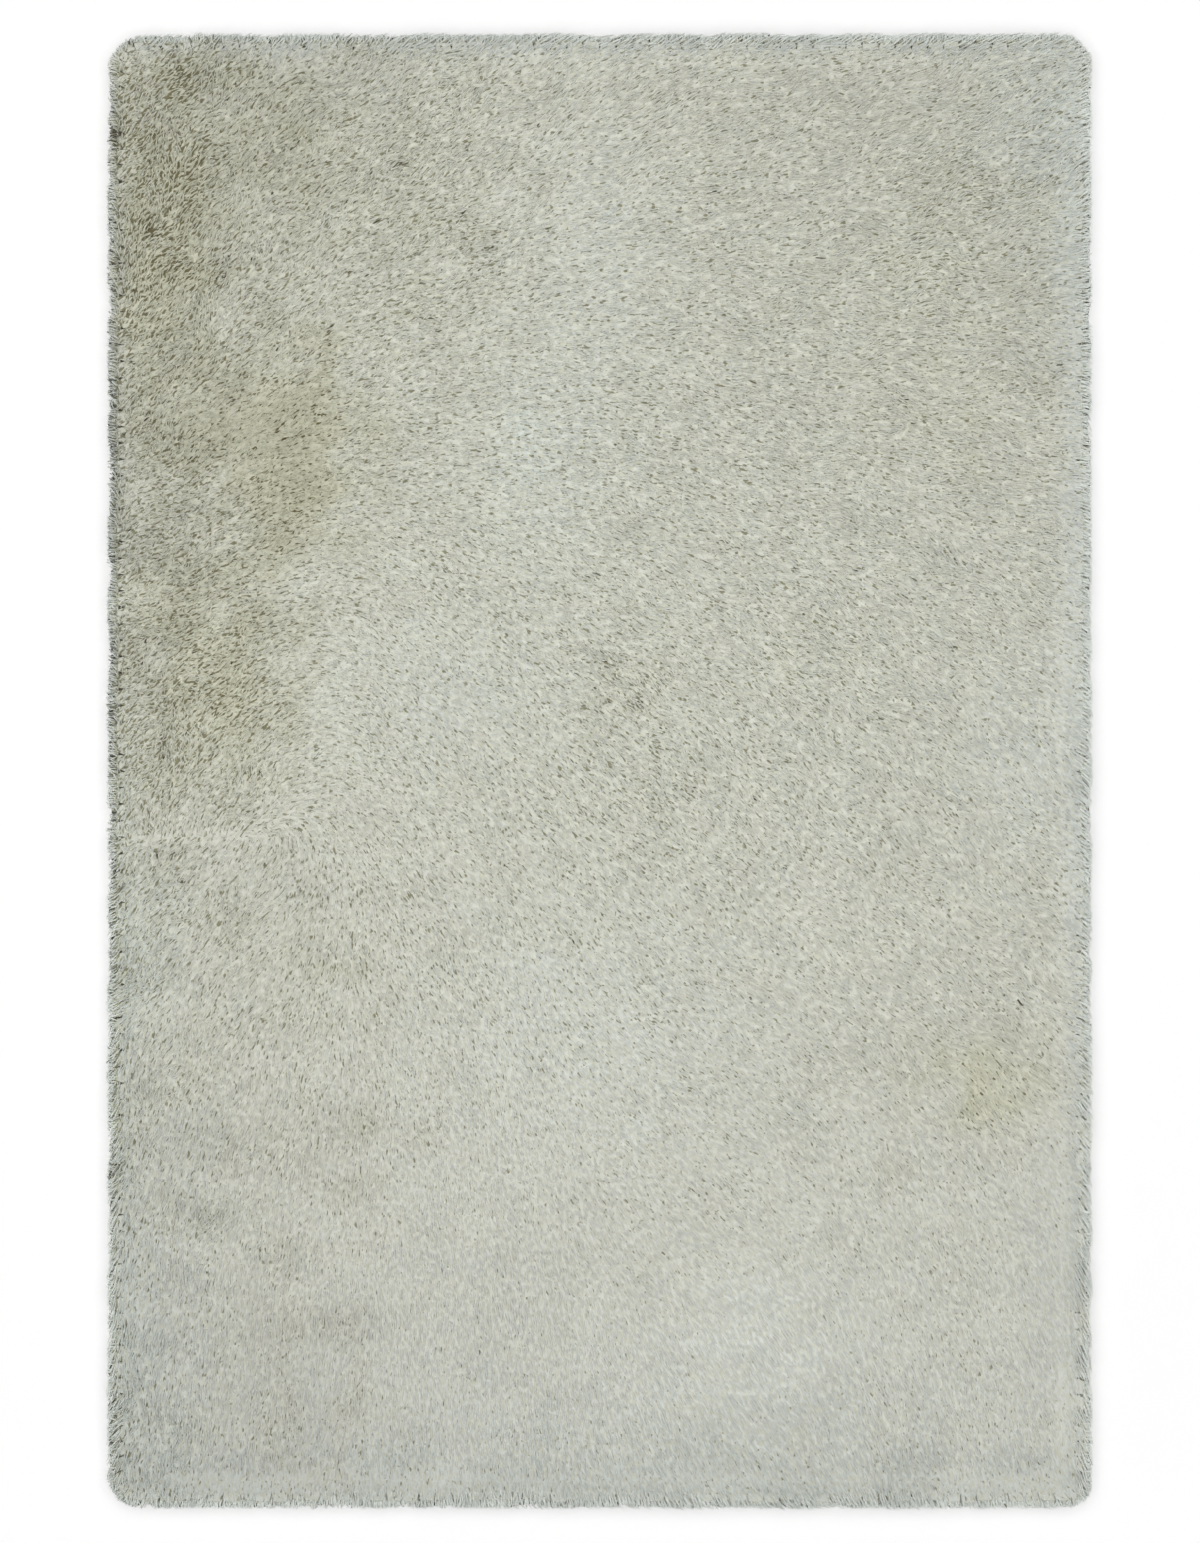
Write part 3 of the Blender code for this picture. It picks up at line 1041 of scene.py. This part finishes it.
def yarn_mesh(name, yarns, evenness):
    """All of these yarns as one mesh, with what the material reads off them."""
    points, normals = yarn_points(yarns, evenness)
    count, per_yarn, _ = points.shape
    faces = yarn_faces()
    corners, around, along = np.array([corner for face in faces for corner in face]).T
    sizes = np.array([len(face) for face in faces])

    mesh = bpy.data.meshes.new(name)
    mesh.vertices.add(count * per_yarn)
    fill(mesh.vertices, "co", points)
    mesh.loops.add(count * len(corners))
    first = np.arange(count)[:, None] * per_yarn
    fill(mesh.loops, "vertex_index", first + corners, np.int32)
    mesh.polygons.add(count * len(faces))
    starts = np.concatenate([[0], np.cumsum(sizes)[:-1]])
    loop_first = np.arange(count)[:, None] * len(corners)
    fill(mesh.polygons, "loop_start", loop_first + starts, np.int32)
    smooth(mesh)
    mesh.update(calc_edges=True)
    mesh.normals_split_custom_set_from_vertices(normals.reshape(-1, 3))

    shares = [ring.along for ring in RINGS for _ in range(SIDES)] + [1.0]
    add_number(mesh, "along", np.tile(shares, count))
    for label in ("open", "warm", "cool", "shade"):
        add_number(mesh, label, np.repeat(getattr(yarns, label), per_yarn))

    # One map in the yarn's own terms, and one with a place of its own for each yarn.
    offset = (np.arange(count) * MAP_STEP)[:, None] % 1.0
    add_map(mesh, "Yarn", np.tile(around, (count, 1)), along + offset)
    columns = int(math.sqrt(count * MAP_SHAPE)) + 1
    rows = count // columns + 1
    number = np.arange(count)[:, None]
    across = (number % columns + 0.10 + 0.80 * around) / columns
    up = (number // columns + 0.08 + 0.86 * (along + 0.03) / 1.03) / rows
    add_map(mesh, "OFBake", across, up)
    return mesh


def fill(items, name, values, kind=np.float32):
    items.foreach_set(name, values.astype(kind).ravel())


def taken(items, name, width=1, kind=float):
    """What each item holds under a name, as rows of that width."""
    values = np.empty(len(items) * width, kind)
    items.foreach_get(name, values)
    return values.reshape(-1, width)


def smooth(mesh):
    mesh.polygons.foreach_set("use_smooth", [True] * len(mesh.polygons))


def add_number(mesh, name, values):
    fill(mesh.attributes.new(name, "FLOAT", "POINT").data, "value", values)


def add_map(mesh, name, across, up):
    fill(mesh.uv_layers.new(name=name).uv, "vector", np.stack([across, up], -1))


def add_object(name, mesh, material):
    obj = bpy.data.objects.new(name, mesh)
    obj.data.materials.append(material)
    bpy.context.scene.collection.objects.link(obj)
    return obj


def part_of_rug(obj):
    """The piece rides with the rug and stands for its solid, which is hidden."""
    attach(obj, "root")
    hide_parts("shag_rug")
    return obj


# ---- bed


def bed_mesh(bed):
    """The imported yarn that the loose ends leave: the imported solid, drawn in and lowered."""
    bm = bmesh.new()
    bm.from_mesh(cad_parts["shag_rug"].data)
    field = [f for f in bm.faces if f.normal.z > FIELD_UPRIGHT and f.calc_area() > FIELD_CELL]
    edges = list({edge for face in field for edge in face.edges})
    bmesh.ops.subdivide_edges(bm, edges=edges, cuts=1, use_grid_fill=True)
    mesh = bpy.data.meshes.new("pile_bed")
    bm.to_mesh(mesh)
    bm.free()
    places = taken(mesh.vertices, "co", 3)
    gap, outward = outline(places[:, 0], places[:, 1])
    raised = np.interp(gap, *zip(*BED_RAISED))
    drawn_in = bed.inset * (1.0 - np.clip(gap / BED_SQUEEZE, 0.0, 1.0)) + np.maximum(-gap, 0.0)
    places[:, :2] -= outward * drawn_in[:, None]
    openness, warmth, dimness = patched(places[:, 0], places[:, 1])
    sunk = bed.sunk_share * np.clip(openness, *BED_OPEN_ENDS)
    places[:, 2] = BED_FOOT + places[:, 2] * raised * (bed.height_share - sunk)
    fill(mesh.vertices, "co", places)
    smooth(mesh)
    mesh.update()
    # Warm: faint stains and painted shade; cool: a painted sheen.
    add_number(mesh, "open", openness)
    add_number(mesh, "warm", np.clip(warmth, 0.0, 1.0))
    add_number(mesh, "cool", np.clip(-warmth, 0.0, 1.0))
    # Faint stains and painted shade dim the patches, and the soiled spots darken the bed more.
    soil = soiled(places[:, 0], places[:, 1])
    add_number(mesh, "shade", 1.0 - STAIN_AND_SHADE * dimness - SOIL * soil)
    map_along_lay(mesh, places)
    return mesh


def map_along_lay(mesh, places):
    """A map for the strands of the bed: each face is turned to the pile's lay there."""
    x, y, _ = taken(mesh.polygons, "center", 3).T
    lay = combed(x, y)
    chance = np.random.default_rng(SEED)
    angle = np.arctan2(lay[:, 1], lay[:, 0]) + chance.normal(0.0, BED_TURNS, len(x))
    angle = np.repeat(angle, taken(mesh.polygons, "loop_total", kind=np.int32)[:, 0])
    x, y, _ = places[taken(mesh.loops, "vertex_index", kind=np.int32)[:, 0]].T
    along = x * np.cos(angle) + y * np.sin(angle)
    across = y * np.cos(angle) - x * np.sin(angle)
    add_map(mesh, "Lay", along, across)


# ---- backing


def backing_outline(inset):
    """Points round a rounded rectangle, that far inside the rug's outline."""
    points = []
    for side_x, side_y, start in ((1, 1, 0), (-1, 1, 90), (-1, -1, 180), (1, -1, 270)):
        radius = next(c.radius for c in CORNERS if (c.side_x, c.side_y) == (side_x, side_y))
        centre_x = side_x * (HALF_WIDTH - radius)
        centre_y = side_y * (HALF_LENGTH - radius)
        for step in range(CLOTH_ARC_STEPS + 1):
            angle = math.radians(start + 90 * step / CLOTH_ARC_STEPS)
            bend = max(radius - inset, CLOTH_LEAST_RADIUS)
            slide = radius - inset - bend
            x = centre_x + side_x * slide + bend * math.cos(angle)
            y = centre_y + side_y * slide + bend * math.sin(angle)
            points.append((x, y))
    return points


def backing_mesh(backing):
    """A flat sheet with the rug's outline, drawn in from it, and eased edges."""
    bm = bmesh.new()
    ring = [bm.verts.new((x, y, 0.0)) for x, y in backing_outline(backing.inset)]
    face = bm.faces.new(ring)
    made = bmesh.ops.extrude_face_region(bm, geom=[face])["geom"]
    raised = [item for item in made if isinstance(item, bmesh.types.BMVert)]
    bmesh.ops.translate(bm, verts=raised, vec=(0.0, 0.0, backing.thickness))
    bmesh.ops.recalc_face_normals(bm, faces=bm.faces)
    rims = [e for e in bm.edges if e.verts[0].co.z == e.verts[1].co.z]
    bmesh.ops.bevel(bm, geom=rims, offset=CLOTH_EASED, segments=2, affect="EDGES", profile=0.5)
    cloth = bm.loops.layers.uv.new("Cloth")
    for face in bm.faces:
        for loop in face.loops:
            loop[cloth].uv = loop.vert.co.xy
    mesh = bpy.data.meshes.new("backing")
    bm.to_mesh(mesh)
    bm.free()
    return mesh


# ---- operators


class RUG_OT_pile(bpy.types.Operator):
    """Grow the pile, as joined meshes of separate yarns"""

    bl_idname = "rug.pile"
    bl_label = "Grow Pile"

    def execute(self, context):
        pile = context.scene.rug.pile
        yarns = grow_yarns(pile)
        material = yarn_material(pile)
        shares = np.array_split(np.arange(len(yarns.thick)), len(PILE_PIECES))
        for name, share in zip(PILE_PIECES, shares):
            part = Yarns(*(values[share] for values in yarns))
            part_of_rug(add_object(name, yarn_mesh(name, part, pile.evenness), material))
        return {"FINISHED"}


class RUG_OT_bed(bpy.types.Operator):
    """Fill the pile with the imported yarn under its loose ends"""

    bl_idname = "rug.bed"
    bl_label = "Fill Pile"

    def execute(self, context):
        rug = context.scene.rug
        bed = add_object("pile_bed", bed_mesh(rug.bed), bed_material(rug.pile))
        part_of_rug(bed)
        return {"FINISHED"}


class RUG_OT_backing(bpy.types.Operator):
    """Lay the woven backing under the pile"""

    bl_idname = "rug.backing"
    bl_label = "Lay Backing"

    def execute(self, context):
        backing = context.scene.rug.backing
        cloth = add_object("backing", backing_mesh(backing), backing_material(backing))
        part_of_rug(cloth)
        flat = (2 * (HALF_WIDTH - backing.inset), 2 * (HALF_LENGTH - backing.inset))
        return {"FINISHED"}


class RUG_OT_stage(bpy.types.Operator):
    """Set up the floor, the lights and the camera straight above"""

    bl_idname = "rug.stage"
    bl_label = "Set Stage"

    def execute(self, context):
        scene = context.scene
        stage = scene.rug.stage
        set_floor(stage)
        set_lights(scene, stage)
        set_camera(scene, stage)
        scene.view_settings.view_transform = "Standard"
        return {"FINISHED"}


def set_floor(stage):
    """A round floor that turns up into a low wall, far out of the way of the rug."""
    bm = bmesh.new()
    glow = bm.verts.layers.float.new("glow")
    bmesh.ops.create_circle(bm, cap_ends=True, segments=STAGE_SIDES, radius=STAGE_RINGS[0][0])
    for reach, height, shine in STAGE_RINGS[1:]:
        edges = [edge for edge in bm.edges if edge.is_boundary]
        made = bmesh.ops.extrude_edge_only(bm, edges=edges)["geom"]
        for vert in made:
            if isinstance(vert, bmesh.types.BMVert):
                out = vert.co.xy.normalized() * reach
                vert.co = (out.x, out.y, height)
                vert[glow] = shine
    mesh = bpy.data.meshes.new("floor")
    bm.to_mesh(mesh)
    bm.free()
    smooth(mesh)
    floor = add_object("floor", mesh, floor_material(stage))
    floor.location.z = FLOOR_DROP


def set_lights(scene, stage):
    world = bpy.data.worlds.new("studio")
    world.use_nodes = True
    sky = world.node_tree.nodes["Background"]
    sky.inputs["Color"].default_value = opaque(WHITE)
    sky.inputs["Strength"].default_value = stage.sky_strength
    scene.world = world
    lamp = bpy.data.lights.new("key", "AREA")
    lamp.energy = stage.key_power
    lamp.size = KEY_SIZE
    key = bpy.data.objects.new("key", lamp)
    key.location = KEY_PLACE
    key.rotation_euler = (-KEY_PLACE).to_track_quat("-Z", "Y").to_euler()
    scene.collection.objects.link(key)


def set_camera(scene, stage):
    """Straight above the rug, with the frame's width of floor in view."""
    camera = bpy.data.cameras.new("camera")
    camera.sensor_fit = "AUTO"
    camera.sensor_width = SENSOR
    camera.lens = stage.lens
    frame_height = stage.frame_width * IMAGE_HEIGHT / IMAGE_WIDTH
    height = frame_height * stage.lens / SENSOR
    eye = bpy.data.objects.new("camera", camera)
    eye.location = RUG_OFF_CENTRE + Vector((0.0, 0.0, height))
    camera.clip_end = CAMERA_SIGHT
    scene.collection.objects.link(eye)
    scene.camera = eye


class RUG_PT_panel(bpy.types.Panel):
    """Lists the rug's settings and the steps that build it"""

    bl_label = "Shag Rug"
    bl_idname = "RUG_PT_panel"
    bl_space_type = "VIEW_3D"
    bl_region_type = "UI"
    bl_category = "Rug"

    def draw(self, context):
        for step in ("pile", "bed", "backing", "stage"):
            settings = getattr(context.scene.rug, step)
            column = self.layout.column(align=True)
            for name in settings.__annotations__:
                column.prop(settings, name)
            column.operator(f"rug.{step}")


SETTINGS = (PileSettings, BedSettings, BackingSettings, StageSettings, RugSettings)
CLASSES = (*SETTINGS, RUG_OT_pile, RUG_OT_bed, RUG_OT_backing, RUG_OT_stage, RUG_PT_panel)


def register():
    for cls in CLASSES:
        bpy.utils.register_class(cls)
    bpy.types.Scene.rug = PointerProperty(type=RugSettings)


def unregister():
    del bpy.types.Scene.rug
    for cls in reversed(CLASSES):
        bpy.utils.unregister_class(cls)


def main():
    register()
    bpy.ops.rug.pile()
    bpy.ops.rug.bed()
    bpy.ops.rug.backing()
    bpy.ops.rug.stage()


if __name__ == "__main__":
    main()
